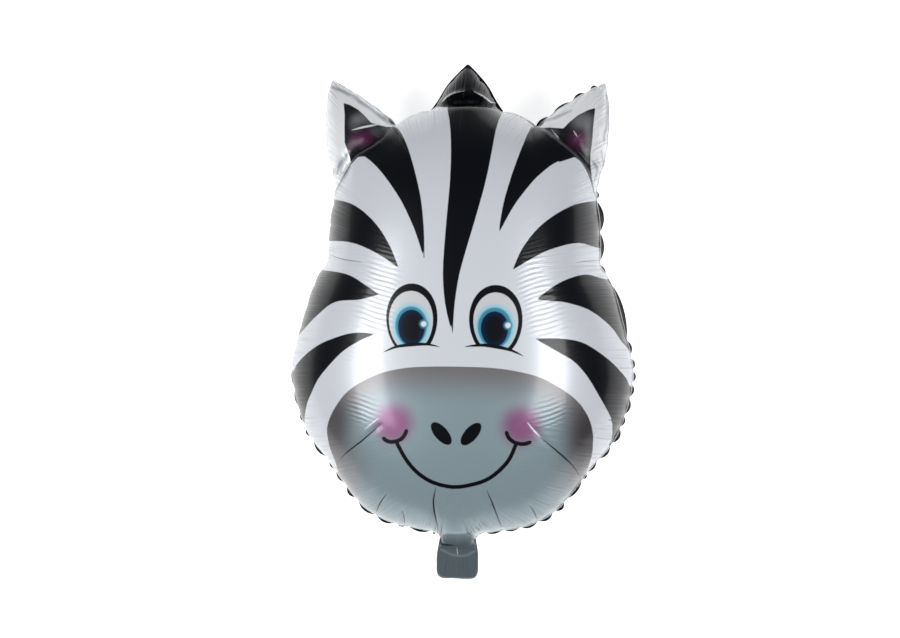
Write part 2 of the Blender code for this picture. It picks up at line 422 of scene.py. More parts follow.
def ellipse(middle, half_width, half_height, turn=0.0, egg=0.0, count=48):
    """Points of an ellipse: cosine and sine of an angle, stretched and turned; an egg is narrower below."""
    angle = np.linspace(0.0, 2 * math.pi, count, endpoint=False)
    across, down = half_width * np.cos(angle) * (1 - egg * np.sin(angle)), half_height * np.sin(angle)
    return np.column_stack([
        middle[0] + across * math.cos(turn) - down * math.sin(turn),
        middle[1] + across * math.sin(turn) + down * math.cos(turn),
    ])


def stripe_shape(edges, count=24):
    """A stripe's outline: along one edge to the tip and back along the other."""
    return np.vstack([smooth_curve(edges[0], count), smooth_curve(edges[1], count)[-2::-1]])


# %% Work out the black print
film_marks = {"mane": inside_distance(pixels, MANE_PATCH)}
black = film_marks["mane"]
for edges in STRIPES:
    black = np.maximum(black, inside_distance(pixels, stripe_shape(edges)))
for across, down, lean in NOSTRILS:
    shape = ellipse((across, down), NOSTRIL_LONG, NOSTRIL_SHORT, lean * NOSTRIL_LEAN)
    black = np.maximum(black, inside_distance(pixels, shape))
film_marks["black"] = black
print("black covers", round(100 * np.mean(black > 0)), "per cent of the film's points")

# %% [markdown]
# ## Muzzle, cheeks and eyes
# The grey muzzle has an edge that runs from one jaw over the nose to the other, and its ink is darker towards
# that edge. Soft spots of painted shade darken its flanks. The cheeks are soft round spots. An eye is a stack
# of ellipses, cut off below by the lid's line.

# %% Muzzle, cheek and eye values, in pixels
MUZZLE_EDGE = (
    (339, 480), (336, 463.5), (333, 456), (329, 444), (327, 430), (329, 420), (336, 406), (346, 393),
    (361.5, 381.8), (381, 373.2), (405, 368), (430, 366.6), (455, 366.6), (490, 367.8), (515, 371),
    (540, 377.5), (560, 388), (574, 398), (583, 408), (590, 421), (593.2, 437), (591.6, 456),
    (587, 470), (582, 484),
)
BELOW_CHIN = ((640, 600), (300, 600))
CHEEKS = ((393.3, 423.0), (520.8, 426.0))
CHEEK_RADIUS = 20.0
# soft spots of painted shade on the muzzle's flanks
MUZZLE_SHADES = ((332, 424, 18, 34, 0.65), (594, 438, 28, 42, 1.0))  # middle, half widths and strength
EYES = (
    # middle and half widths
    {
        "rim": (411.9, 320.0, 25.6, 36.6),
        "white": (411.0, 321.5, 22.0, 30.7),
        "iris": (411.2, 326.5, 15.8, 20.0),
        "pupil": (411.5, 327.6, 13.6, 18.0),
        "glint": (423.8, 324.0, 2.9, 2.9),
    },
    {
        "rim": (495.8, 321.4, 26.7, 36.5),
        "white": (495.8, 322.8, 22.4, 30.4),
        "iris": (494.7, 328.0, 16.8, 20.4),
        "pupil": (494.6, 329.1, 13.8, 17.8),
        "glint": (508.0, 325.4, 2.9, 2.9),
    },
)
LIDS = (
    ((383, 352.5), (387.5, 350.3), (397, 346.6), (413, 344.6), (426, 344.2), (434.5, 345.6),
     (440, 347)),
    ((464, 347), (470, 346.0), (484, 345.2), (500, 347.5), (511, 350.3), (519.5, 354), (524, 356.5)),
)
EYE_EGG = 0.06  # how much narrower an eye is below than above
EYE_LAYERS = ("rim", "white", "iris", "pupil", "glint")

# %% Work out muzzle, cheeks and eyes
muzzle_shape = np.vstack([smooth_curve(MUZZLE_EDGE, 120), np.array(BELOW_CHIN, float)])
film_marks["muzzle"] = inside_distance(pixels, muzzle_shape)
cheek = [np.exp(-((np.linalg.norm(pixels - middle, axis=1) / CHEEK_RADIUS) ** 4)) for middle in CHEEKS]
film_marks["cheek"] = cheek[0] + cheek[1]


def soft_spots(spots, ovals):
    """Sum of soft ovals, each 1 in its middle: e to the minus cube of the distance in half widths."""
    total = np.zeros(len(spots))
    for across, down, wide, high, amount in ovals:
        total += amount * np.exp(-(np.hypot((spots[:, 0] - across) / wide, (spots[:, 1] - down) / high) ** 3))
    return total


film_marks["muzzle_shade"] = soft_spots(pixels, MUZZLE_SHADES)
for layer in EYE_LAYERS:
    reach = np.full(len(pixels), -np.inf)
    for eye, lid in zip(EYES, LIDS):
        shape = ellipse(eye[layer][:2], *eye[layer][2:], egg=EYE_EGG)
        above_lid = -line_distance(pixels, smooth_curve(lid, 24))[0]
        reach = np.maximum(reach, np.minimum(inside_distance(pixels, shape), above_lid))
    film_marks["eye_" + layer] = reach
print("layers of print so far:", ", ".join(film_marks))

# %% [markdown]
# ## Drawn lines
# The smile, the corners of the mouth and the lids are strokes. A stroke is kept as two numbers for each
# point: its signed distance from the stroke's middle line, and the stroke's half width there. Both change
# evenly over the film, so that even a thin line stays even between the grid's points.

# %% Strokes, in pixels
SMILE = (
    (396.6, 442.5), (405.5, 458.6), (415.7, 471), (428, 480), (441, 485), (455.5, 487), (472, 484.6),
    (487, 479.5), (500, 470), (509.6, 458.6), (516, 444.5),
)
LEFT_CORNER = ((383.2, 438), (387, 440.9), (392.7, 441.9), (401, 439.2), (405, 434.3), (406.6, 430.2))
RIGHT_CORNER = ((506.4, 432.2), (508.6, 437.5), (513.7, 442), (519.5, 443.8), (525, 443.9), (530.8, 441.9))
CLEAR_OF_STROKE = 4.0  # further away than this, a stroke's half width falls off, so that two never mix
# each stroke: the line, its half width, and 1 where it tapers to both ends
STROKES = {
    "smile": ((SMILE, 1.95, 0.0),),
    "corner": ((LEFT_CORNER, 2.0, 0.0), (RIGHT_CORNER, 2.0, 0.0), (LIDS[0], 1.7, 1.0), (LIDS[1], 1.8, 1.0)),
}


def stroke_marks(spots, strokes):
    """Side distance and half width of the nearest stroke: round at plain ends, or tapering."""
    best = np.full(len(spots), -np.inf)
    side = np.zeros(len(spots))
    width = np.zeros(len(spots))
    for knots, half_width, taper in strokes:
        line = smooth_curve(knots, 60)
        first, last = line[0] - line[1], line[-1] - line[-2]
        past_start = (spots - line[0]) @ (first / np.linalg.norm(first))
        past_end = (spots - line[-1]) @ (last / np.linalg.norm(last))
        past = np.maximum(np.maximum(past_start, past_end), 0.0)
        signed, along = line_distance(spots, line)
        near_end = (along <= 0.0) | (along >= 1.0)
        here = half_width * np.where(taper > 0, np.sin(math.pi * along) ** 0.7, 1.0)
        here = here - np.where(near_end, past, 0.0) - np.maximum(np.abs(signed) - CLEAR_OF_STROKE, 0.0)
        score = here - np.abs(signed)
        closer = score > best
        best = np.where(closer, score, best)
        side = np.where(closer, signed, side)
        width = np.where(closer, here, width)
    return side, width


for name, strokes in STROKES.items():
    film_marks[name + "_side"], film_marks[name + "_width"] = stroke_marks(pixels, strokes)
print("strokes:", len(STROKES))

# %% [markdown]
# ## Inside the ears
# Each ear has a dark inner shape with a few lighter soft spots of painted sheen, and a mauve patch where the
# ear's film folds under the head.

# %% Ear values, in pixels
EAR_SHAPES = (
    ((343.6, 103), (350, 105), (358, 109.5), (365, 116), (371, 123), (379, 125.5), (389, 126),
     (397, 127.5), (400, 140), (380, 155), (358, 157), (352, 163.5), (349, 160), (347, 152), (344, 142),
     (344.2, 128), (344.6, 115)),
    ((595.2, 108), (588, 110), (578, 115), (569, 122), (563, 128), (550, 127), (540, 127.5), (530, 128),
     (535, 150), (560, 162), (575, 157), (583, 163), (588.5, 174), (592, 186), (590.5, 169), (590, 155),
     (592, 141), (593.4, 124)),
)
# soft spots: middle, half widths and strength
EAR_PINKS = ((362, 138, 10, 8, 0.9), (351, 141, 5, 8, 0.4), (578, 140, 9, 9, 1.0))
# soft spots of painted sheen inside the ears: middle, half widths and strength
EAR_SHEEN_SPOTS = (
    (362, 118, 10, 6, 0.7), (354, 124, 6, 7, 0.4), (376, 131, 8, 5, 0.3),
    (583, 121, 12, 9, 0.8), (588, 141, 5, 16, 0.9), (552, 132, 6, 4, 0.5),
)

# %% Work out the ears' print
ear = [inside_distance(pixels, np.array(shape, float)) for shape in EAR_SHAPES]
film_marks["ear"] = np.maximum(ear[0], ear[1])
film_marks["ear_pink"] = soft_spots(pixels, EAR_PINKS)
film_marks["ear_sheen"] = soft_spots(pixels, EAR_SHEEN_SPOTS)
print("ears done, layers of print:", len(film_marks))

# %% [markdown]
# ## The seam's edge and its gathers
# Film can't shrink along the weld when the balloon is blown up, so it buckles there. Between two gathers the
# narrow edge outside the weld stands out as a thin lens, and at a gather it is drawn in. Where a lens leans
# away from the light its shade is painted dark into its colour, and each dark one was measured. Everywhere
# else they are pale and follow each other evenly. The gathers of the film are set between the lenses, so that
# both always meet.

# %% Dark lenses of the edge, clockwise from the right ear
# pixel places of both ends, and the width in pixels
LENSES = (
    ((540, 129), (553, 110), 2.2), ((557, 107), (573, 95), 1.8), ((577, 94), (588, 86), 2.2),
    ((592, 84), (601, 79.5), 2.0), ((592, 188), (594.5, 199), 1.6), ((594.5, 201), (602, 230), 4.0),
    ((601.5, 233), (597.5, 260), 3.0), ((598, 263), (604, 278), 1.4), ((609, 288), (627, 340), 3.4),
    ((627, 341), (633.5, 355), 2.2), ((635, 358), (636, 369), 2.0), ((635, 371), (634, 382), 2.0),
    ((634, 385), (632, 397), 2.2), ((632, 399), (627, 414), 2.4), ((625.5, 416), (622, 426), 1.8),
    ((621, 428), (615.5, 443), 3.0), ((613, 447), (604, 460), 2.4), ((600.5, 463), (591, 473), 2.0),
    ((588.5, 474.5), (583, 479), 1.4), ((581, 480), (571.5, 500), 2.6),
    ((567.5, 503.5), (558, 512), 2.8), ((555, 513.5), (540, 521.5), 2.6),
    ((538.5, 522), (523, 529), 2.2), ((521.5, 529), (505.5, 532), 1.6), ((504, 532), (486, 535.5), 1.8),
    ((438, 533), (432, 532), 1.4), ((429.5, 533), (406.5, 529), 2.4), ((403, 528), (395, 526), 1.0),
    ((392.5, 525), (375, 514.5), 2.4), ((373.5, 513.5), (355.5, 502.5), 2.4),
    ((353.5, 498), (344.5, 488), 2.8), ((342.5, 482), (336, 469), 2.0),
    ((335, 467.5), (327.5, 461.5), 1.8), ((322.5, 457.5), (310.5, 442), 2.6),
    ((307.5, 437), (302.5, 429), 2.0), ((302, 421), (297.5, 413), 1.4), ((296, 406), (293.5, 391), 1.2),
    ((293, 386), (293, 369), 1.0),
)
PALE_WIDTH = 0.9 / PIXELS_PER_METRE
MANE_WIDTH = 1.6 / PIXELS_PER_METRE
TAIL_WIDTH = 1.2 / PIXELS_PER_METRE
TAIL_DARKNESS = 0.75
LENS_GAP = (0.3, 1.0)  # steps left free at each end of a dark lens and of a pale one
EDGE_PALE = 0.0009  # width of the pale line between the film and a dark lens
EDGE_LEAST = 0.0006  # how far the edge stands out at a gather


def lens_table():
    """All lenses clockwise, as rows of first step, last step, width in metres and darkness.

    The dark ones lie where their ends show, and the room between them is filled with pale ones of even pitch.
    """
    edge_pixels = picture_places(np.column_stack([rim + LIFT[:2], np.full(AROUND, SEAM_HEIGHT)]))
    dark_ones = []
    for start, end, width in LENSES:
        first, last = (int(np.argmin(np.linalg.norm(edge_pixels - spot, axis=1))) for spot in (start, end))
        dark_ones.append((first + LENS_GAP[0], last - LENS_GAP[0], width / PIXELS_PER_METRE, 1.0))
    dark_ones.sort()
    rows = []
    reached = 0
    for row in dark_ones + [(AROUND, AROUND, 0.0, 0.0)]:
        room = row[0] - reached
        pale = round(room / STEPS_PER_GATHER) if room > STEPS_PER_GATHER else 0
        ends = np.linspace(reached, row[0], pale + 1) if pale else []
        for first, last in zip(ends, ends[1:]):
            rows.append((first + LENS_GAP[1], last - LENS_GAP[1], PALE_WIDTH, 0.0))
        rows.append(row)
        reached = row[1]
    return np.array(rows[:-1], float)


lenses = lens_table()
steps = np.arange(AROUND)


def edge_profile(at):
    """How far the edge stands out at each step, its darkness, and the darkness of its inner part.

    A lens is thickest in its middle: one less the square of the way from there. Round the mane and the tail
    the edge is one plain strip.
    """
    share = (at[:, None] - lenses[:, 0]) / (lenses[:, 1] - lenses[:, 0])
    inside = (share > 0) & (share < 1)
    swelling = np.where(inside, 1 - (2 * np.clip(share, 0, 1) - 1) ** 2, 0.0)
    dark = np.max(np.where(inside, lenses[:, 3], 0.0), axis=1)
    stands_out = np.maximum(EDGE_LEAST, EDGE_PALE * dark + np.max(swelling * lenses[:, 2], axis=1))
    top_steps = np.minimum(at, AROUND - at)
    mane = top_steps < run_steps[0]
    tail = top_steps > HALF_WAY - run_steps[-1]
    stands_out = np.where(mane, MANE_WIDTH, np.where(tail, TAIL_WIDTH, stands_out))
    dark = np.where(mane, 1.0, np.where(tail, TAIL_DARKNESS, dark))
    return stands_out, dark, np.where(mane | tail, dark, 0.0)


# %% Count the gathers
from_top = np.minimum(steps, AROUND - steps)
step_dark = edge_profile(steps)[1]
gather_steps = 0.5 * (lenses[:, 1] + np.roll(lenses[:, 0], -1))
gather_steps[-1] = AROUND
count = np.interp(steps, np.concatenate([[0.0], gather_steps]), np.arange(len(gather_steps) + 1))
print(len(lenses), "lenses,", int(lenses[:, 3].sum()), "of them dark")

# %% [markdown]
# ## Gathers, ripples and creases
# A gather is a short sharp valley at the weld. Ripples run inwards from the weld, and they are strongest
# beside the eyes. Both are pressed into the mesh, because their outline shows. The finest ripples, a few
# millimetres apart, break up the bright bands beside the eyes. They are closer than the mesh's points, so
# only their phase and strength are kept here, for the material to draw as a bump.

# %% Gather values
SCALLOP = 0.0006  # how far the weld bows out between two gathers
GATHER_DEPTH = 0.0014
GATHER_REACH = 0.009
GATHER_WIDTH = 0.09  # as a share of the way to the next gather
PALE_SCALLOP = 0.4  # share of the scallop that is left where the edge is pale
RIPPLE_PITCH = 0.0085  # measured along the seam
RIPPLE_HEIGHT = 0.00018
# soft spots: middle, half widths and strength
RIPPLE_SPOTS = (
    (376, 306, 30, 62, 1.0), (546, 306, 34, 62, 1.0), (345, 425, 26, 26, 0.5), (566, 440, 30, 30, 0.6),
    (330, 300, 40, 90, 0.25), (600, 300, 40, 90, 0.25), (461, 520, 110, 30, 0.35),
)
FINE_PITCH = 4.7  # pixels from one fine ripple to the next
FINE_SLOPE = math.radians(18)  # fine ripples run down towards the middle of the face
FINE_SPOTS = (
    (381, 279, 14, 20, 1.0), (373, 316, 18, 22, 1.0), (533, 282, 14, 20, 1.0), (549, 319, 19, 22, 1.0),
    (352, 350, 12, 14, 0.6), (576, 352, 14, 16, 0.6), (362, 408, 15, 14, 0.6), (548, 412, 15, 14, 0.6),
)


def fine_phase(spots):
    """Phase of the fine ripples: it grows by a full turn for each pitch across them, and wanders a little."""
    aside = np.abs(spots[:, 0] - MIDDLE_PIXEL[0])
    across = spots[:, 1] * math.cos(FINE_SLOPE) + aside * math.sin(FINE_SLOPE)
    wander = 0.9 * np.sin(spots[:, 1] / 11 + aside / 17) + 0.6 * np.sin(aside / 5)
    return 2 * math.pi * across / FINE_PITCH + wander


def scallop(steps_along):
    """How far the weld bows out: a half wave from gather to gather, less where the edge is pale."""
    strength = np.where(step_dark > 0.8, 1.0, PALE_SCALLOP) * (from_top > run_steps[0])
    return SCALLOP * np.sin(math.pi * (steps_along % 1.0)) * strength


def gather_depth(way):
    """Depth of the seam's puckers: a cusp at each gather that fades away from the weld."""
    whole = np.round(count)
    aside = np.abs(count - whole)
    strength = 0.65 + 0.35 * np.sin(1.7 * whole)
    reach = GATHER_REACH * (1.3 + 0.9 * np.sin(2.4 * whole))
    return GATHER_DEPTH * strength * np.exp(-aside / GATHER_WIDTH) * np.exp(-way / reach)


def ripple_height(spots, way):
    """Ripples that run inwards: crested waves along the seam whose phase wanders, strong in soft spots."""
    along = np.broadcast_to(seam_length, way.shape)
    wander = 1.3 * np.sin(along * 47 + 9 * way) + 0.9 * np.sin(along * 131 - 21 * way + 1.0)
    phase = 2 * math.pi * along / RIPPLE_PITCH + wander
    wave = (0.5 + 0.5 * np.sin(phase)) ** 3 + 0.4 * (0.5 + 0.5 * np.sin(2.3 * phase - wander)) ** 2
    return RIPPLE_HEIGHT * wave * soft_spots(spots, RIPPLE_SPOTS).reshape(way.shape)


film_marks["fine_phase"] = fine_phase(pixels)
film_marks["fine_amount"] = soft_spots(pixels, FINE_SPOTS)
print("gathers:", len(gather_steps))

# %% [markdown]
# ## Long creases
# A few long creases follow the corners of the outline, at the waist, the jaw and the tail, and three ridges
# stand up in the ears and the mane. Each is a line with a rounded valley pressed along it.

# %% Crease values
# pixel places of the line, half width and depth in metres; a ridge has a negative depth
CREASES = (
    (((326, 253), (342.5, 259), (362, 262)), 0.0025, 0.0010),
    (((606, 260), (588, 260.5), (572, 263)), 0.0025, 0.0008),
    (((338, 461.5), (345, 454), (355, 446), (361, 441.5), (371, 433), (379, 426)), 0.0022, 0.0012),
    (((581, 481), (578, 473), (573, 466), (566, 459), (558, 452), (543, 439.5),
      (536, 431)), 0.0022, 0.0012),
    (((438, 531), (434.5, 513), (433.2, 501), (435, 487)), 0.0020, 0.0012),
    (((502.5, 529), (497, 517), (493, 505), (486.5, 490)), 0.0020, 0.0012),
    (((376, 514), (379.5, 505), (386, 494)), 0.0018, 0.0010),
    (((405, 527), (404, 518), (402, 510)), 0.0018, 0.0008),
    (((538, 521), (534, 512), (529, 505)), 0.0018, 0.0010),
    (((610, 420), (616, 421.5), (624, 425)), 0.0018, 0.0010),
    (((440, 102), (453, 94), (465, 90.5)), 0.0016, -0.0016),
    (((473, 91), (483, 96.5), (497, 104)), 0.0016, -0.0016),
    (((351, 130), (364, 126.5), (382, 124)), 0.0020, -0.0014),
    (((430, 105.5), (445, 103), (473, 101.5), (495, 104), (508, 108)), 0.0035, 0.0070),
)
CREASE_START = 0.005  # way in from the weld over which a crease starts


def crease_depth(spots, way):
    """Depth of the long creases: deepest on the line, fading to its sides and towards its inner end."""
    total = np.zeros(len(spots))
    for knots, half_width, depth in CREASES:
        signed, along = line_distance(spots, smooth_curve(knots, 40))
        aside = np.abs(signed) / PIXELS_PER_METRE / half_width
        total += depth * np.exp(-(aside**1.5)) * np.sin(math.pi * np.clip(along, 0.08, 0.92)) ** 0.5
    return total * ease((way + 0.001) / CREASE_START)


print("long creases:", len(CREASES))

# %% [markdown]
# ## Shades of the folds
# In a real fold the film mirrors itself, so its valley is dark and its ridge bright. A mesh of this size is
# too coarse for that last fine line, so it is drawn as a tapering stroke: dark ones in the valleys, light
# ones on the ridges, and soft grey or bright ones where the film is only crinkled.

# %% Fold strokes
# the line in pixels, its half width, and 1 for a taper
FOLDS = (
    (((338, 461.5), (345, 454), (355, 446), (361, 441.5), (371, 433), (380, 425)), 0.75, 1.0),
    (((581.5, 481), (578, 473), (573, 466), (566, 459), (558, 452), (549, 444.5),
      (541, 438)), 0.85, 1.0),
    (((438.5, 531), (434.5, 513), (433.4, 501), (436, 487)), 0.9, 1.0),
    (((502.5, 529), (497.5, 517), (493, 505), (486.5, 490)), 0.75, 1.0),
    (((375.5, 514), (379.5, 504), (387, 493)), 0.7, 1.0),
    (((405, 527), (404, 518), (402, 510)), 0.5, 1.0),
    (((538, 521), (534, 512), (530, 506)), 0.6, 1.0),
    (((608, 419.5), (616, 421.5), (625, 425)), 0.7, 1.0),
    (((326, 253.5), (342.5, 259), (362, 262)), 0.3, 1.0),
    (((604, 260.5), (588, 261), (576, 262.5)), 0.3, 1.0),
    (((333.5, 198), (337.5, 187), (344, 175), (351, 163.5), (358, 154), (371, 146.5), (383, 137.5),
      (391, 129)), 0.8, 1.0),
    (((595, 198), (593, 187), (588.5, 173), (583, 163), (575, 154), (565, 145), (553, 136.5),
      (542, 129.5)), 1.3, 1.0),
    (((439.6, 530), (440, 538), (442, 543.5), (448, 544.8), (455, 545)), 1.1, 1.0),
)
RIDGES = (
    (((441, 101), (453, 94.3), (465, 91)), 0.5, 1.0),
    (((473, 91.3), (483, 96.7), (496, 103)), 0.5, 1.0),
    (((351, 130), (364, 127), (380, 124.3)), 0.9, 1.0),
    (((551, 128.5), (554, 133), (558.5, 139)), 0.55, 1.0),
    (((573, 130), (577, 136)), 0.45, 1.0),
    (((364, 430), (371, 424), (379, 418)), 0.45, 1.0),
    (((527, 422), (534, 430.5), (541.5, 438)), 0.85, 1.0),
    (((457, 547), (457.3, 550), (458, 555)), 0.3, 1.0),
)
CRINKLES = (
    (((348, 150), (341, 160), (336, 174)), 1.2, 1.0),
    (((350, 167), (341, 181), (336, 192)), 1.0, 1.0),
    (((334, 168), (331, 182), (332, 194)), 1.0, 1.0),
    (((329, 86), (345, 92), (359, 99)), 1.3, 1.0),
    (((352, 97), (367, 106), (378, 114)), 1.3, 1.0),
    (((371, 110), (383, 118), (393, 124)), 1.5, 1.0),
    (((606, 92), (607.5, 115), (604, 142)), 1.4, 1.0),
    (((611, 108), (611, 135), (606, 165)), 0.9, 1.0),
    (((592, 160), (597, 170), (593, 184)), 1.1, 1.0),
    (((601, 150), (603, 165), (599, 182)), 1.0, 1.0),
    (((543, 121), (556, 117), (572, 110)), 1.0, 1.0),
    (((441, 549), (452, 554.5), (465, 555.5), (475, 551)), 0.2, 1.0),
)
TAIL_LIGHTS = (
    (((442, 520), (444, 529), (446, 538)), 1.4, 1.0),
    (((479, 517), (476.5, 527), (474, 536)), 1.4, 1.0),
)
FOLD_STROKES = {"fold": FOLDS, "ridge": RIDGES, "crinkle": CRINKLES, "gleam": TAIL_LIGHTS}
for name, strokes in FOLD_STROKES.items():
    film_marks[name + "_side"], film_marks[name + "_width"] = stroke_marks(pixels, strokes)
print("fold strokes:", sum(len(strokes) for strokes in FOLD_STROKES.values()))

# %% [markdown]
# ## Ears against the head
# The blown up head leans over the foot of each ear and presses the ear's film down, so there is a step along
# the head's bulge, and the film beside it is crumpled. The step takes away a share of the ear's height, and
# the crumples are folded waves in several directions.

# %% Tuck and crumple values
# pixel line of the head's bulge, from its foot up, and the side of it on which the ear lies
TUCKS = (
    (((333.5, 199), (338, 187), (344, 175), (351, 163), (358, 154), (371, 146.5), (383, 137.5),
      (390, 130), (397, 125)), -1),
    (((595, 199), (592, 185), (588, 174), (583, 164), (575, 154), (565, 145), (553, 136.5),
      (541, 129.5), (531, 125)), 1),
)
TUCK_SHARE = 0.38  # how much of its height the ear's film loses beside the bulge
TUCK_REACH = 17.0  # pixels
TUCK_STEP = 3.0
EAR_FILM_STEP = 4.0
CRUMPLE_HEIGHT = 0.0007
# soft spots: middle, half widths and strength
CRUMPLE_SPOTS = (
    (341, 168, 9, 26, 1.4), (376, 133, 17, 9, 1.0), (362, 148, 9, 8, 0.4), (350, 95, 26, 10, 0.9),
    (384, 116, 10, 9, 1.3), (600, 170, 9, 24, 1.4), (556, 136, 14, 8, 1.0), (579, 142, 9, 9, 0.4),
    (605, 120, 8, 34, 1.0), (457, 556, 20, 16, 0.8),
)


def tuck_share(spots):
    """Share of height that the ear's film loses beside the head's bulge: a sharp step that fades outwards."""
    total = np.zeros(len(spots))
    for knots, ear_side in TUCKS:
        signed, along = line_distance(spots, smooth_curve(knots, 60))
        out = signed * ear_side
        fade = np.exp(-np.maximum(out, 0.0) / TUCK_REACH)
        total += ease(out / TUCK_STEP) * fade * np.sin(math.pi * np.clip(along, 0.03, 0.97)) ** 0.5
    return TUCK_SHARE * total


def crumple_height(spots):
    """Creased facets: sums of folded waves that run in five directions, strong in soft spots."""
    folds = np.zeros(len(spots))
    for number in range(5):
        turn = 2.4 * number + 0.5
        pitch = 13.0 + 3.0 * number
        across = spots[:, 0] * math.cos(turn) + spots[:, 1] * math.sin(turn)
        folds += np.abs(np.sin(math.pi * across / pitch + 1.7 * number))
    return CRUMPLE_HEIGHT * (folds - 3.0) * soft_spots(spots, CRUMPLE_SPOTS)


# where the ears' film lies beside the head, a whiter colour is laid on as painted sheen
ear_film = np.zeros(len(pixels))
for knots, ear_side in TUCKS:
    out = ear_side * line_distance(pixels, smooth_curve(knots, 60))[0]
    beside = (pixels[:, 0] - knots[-1][0]) * ear_side > 0
    ear_film = np.maximum(ear_film, ease(out / EAR_FILM_STEP) * (beside & (pixels[:, 1] < knots[0][1])))
film_marks["ear_film"] = ear_film
film_marks["tail"] = 1 - calm.ravel()
print("ear film covers", round(100 * np.mean(ear_film > 0.5)), "per cent of the film's points")

# %% [markdown]
# ## Pressing it all into the film
# Every depth so far is pushed in against the film's own direction, point by point. The two films bow out
# together along the weld, and they lie half the tail's thickness apart on the tail.

# %% Press values
BOW_REACH = 0.006  # way in from the weld over which the bow of the weld and the crumples fade
FILM_GAP = 0.0003  # how far the film lies above the seam's edge
SEAM_RISE = 0.0015


def grid_normals(surface):
    """Unit normals of a grid of points: the cross product of its two directions, pointing out of the film."""
    along = np.roll(surface, -1, axis=1) - np.roll(surface, 1, axis=1)
    inwards = np.gradient(surface, axis=0)
    normals = np.cross(inwards, along)
    return normals / np.maximum(np.linalg.norm(normals, axis=2), 1e-12)[:, :, None]


def lay_on_edge(film, way, tail_share):
    """Bows the film out along the weld, keeps it above the seam, and lifts it to the tail's thickness."""
    film[:, :, :2] += outward * (scallop(count)[:, None] * np.exp(-way / BOW_REACH)[:, :, None])
    film[:, :, 2] = np.maximum(film[:, :, 2], SEAM_HEIGHT)
    film[:, :, 2] += (0.5 * TAIL_THICKNESS * tail_share + FILM_GAP) * ease(way / SEAM_RISE)
    return film


# %% Press the gathers and creases into the front film
seam_length = np.concatenate([[0.0], np.cumsum(np.linalg.norm(np.diff(rim, axis=0), axis=1))])
outward = outward_directions(rim)
depth = gather_depth(way_in) - ripple_height(pixels, way_in)
depth += crease_depth(pixels, way_in.ravel()).reshape(depth.shape)
depth -= (crumple_height(pixels) * ease(way_in.ravel() / BOW_REACH)).reshape(depth.shape)
tucked = smooth_film.copy()
tucked[:, :, 2] -= (tucked[:, :, 2] - SEAM_HEIGHT) * tuck_share(pixels).reshape(depth.shape)
front = tucked - grid_normals(tucked) * (calm * depth)[:, :, None]
front[0] = smooth_film[0]
front = lay_on_edge(front, way_in, 1 - calm)
print("deepest crease", round(1000 * depth.max(), 1), "mm")

# %% [markdown]
# ## From grid to mesh
# The grid's last ring lies on the spine, where each ray from the right meets its mirror image from the left.
# Those pairs share one point, so the film is closed down the middle.


# %% Mesh helpers
def film_indices(rings):
    """Number of each grid point, with the last ring's left half pointing at its right half."""
    numbers = np.arange((rings + 1) * AROUND).reshape(rings + 1, AROUND)
    numbers[-1, HALF_WAY + 1:] = numbers[-1, HALF_WAY - 1:0:-1]
    return numbers


def film_faces(rings):
    """Four sided faces between two rings and two rays, which face up on the front film."""
    numbers = film_indices(rings)
    ahead = np.roll(numbers, -1, axis=1)
    return np.stack([numbers[:-1], numbers[1:], ahead[1:], ahead[:-1]], axis=-1).reshape(-1, 4)


def make_piece(name, points, faces, marks, material):
    """Makes a mesh object from arrays, with one named value for each point in each of its marks."""
    used = np.unique(faces)
    renumber = np.zeros(len(points), int)
    renumber[used] = np.arange(len(used))
    mesh = bpy.data.meshes.new(name)
    mesh.from_pydata(points[used].tolist(), [], renumber[faces].tolist())
    for mark, values in marks.items():
        kind, field = ("FLOAT", "value") if values.ndim == 1 else ("FLOAT_VECTOR", "vector")
        layer = mesh.attributes.new(mark, kind, "POINT")
        layer.data.foreach_set(field, values[used].ravel().astype(np.float32))
    mesh.materials.append(material)
    mesh.shade_smooth()
    piece = bpy.data.objects.new(name, mesh)
    bpy.context.scene.collection.objects.link(piece)
    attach(piece, "root")
    print(name, "has", len(used), "points and", len(faces), "faces")
    return piece


def place_marks(way):
    """Each point's way along the seam and its way in, for the patterns that follow the film."""
    return np.stack([seam_length + 0 * way, way, 0 * way], axis=-1).reshape(-1, 3)


# %% [markdown]
# ## Shader helpers
# A print is layers of ink, one over the other. Each layer is a colour and a mask, and the mask is a smooth
# step on a distance kept with the points.


# %% Shader helpers
def srgb(red, green, blue):
    """Linear colour of a screen colour given from 0 to 255."""
    share = np.array([red, green, blue]) / 255
    linear = np.where(share <= 0.04045, share / 12.92, ((share + 0.055) / 1.055) ** 2.4)
    return (*linear.tolist(), 1.0)


def add_node(tree, kind, **inputs):
    """Adds a node and fills its inputs, each with a value or with another node's output."""
    node = tree.nodes.new(kind)
    for name, value in inputs.items():
        socket = node.inputs[name.replace("_", " ")]
        if isinstance(value, bpy.types.NodeSocket):
            tree.links.new(value, socket)
        else:
            socket.default_value = value
    return node


def maths(tree, operation, *values):
    """One step of arithmetic on values or outputs."""
    node = tree.nodes.new("ShaderNodeMath")
    node.operation = operation
    for socket, value in zip(node.inputs, values):
        if isinstance(value, bpy.types.NodeSocket):
            tree.links.new(value, socket)
        else:
            socket.default_value = value
    return node.outputs[0]


def mark(tree, name):
    """The value that the points carry under a name."""
    node = tree.nodes.new("ShaderNodeAttribute")
    node.attribute_name = name
    return node.outputs["Fac"]


def step_mask(tree, value, low, high):
    """0 below the low value, 1 above the high one, smooth between."""
    node = tree.nodes.new("ShaderNodeMapRange")
    node.interpolation_type = "SMOOTHSTEP"
    tree.links.new(value, node.inputs["Value"])
    node.inputs["From Min"].default_value = low
    node.inputs["From Max"].default_value = high
    return node.outputs["Result"]


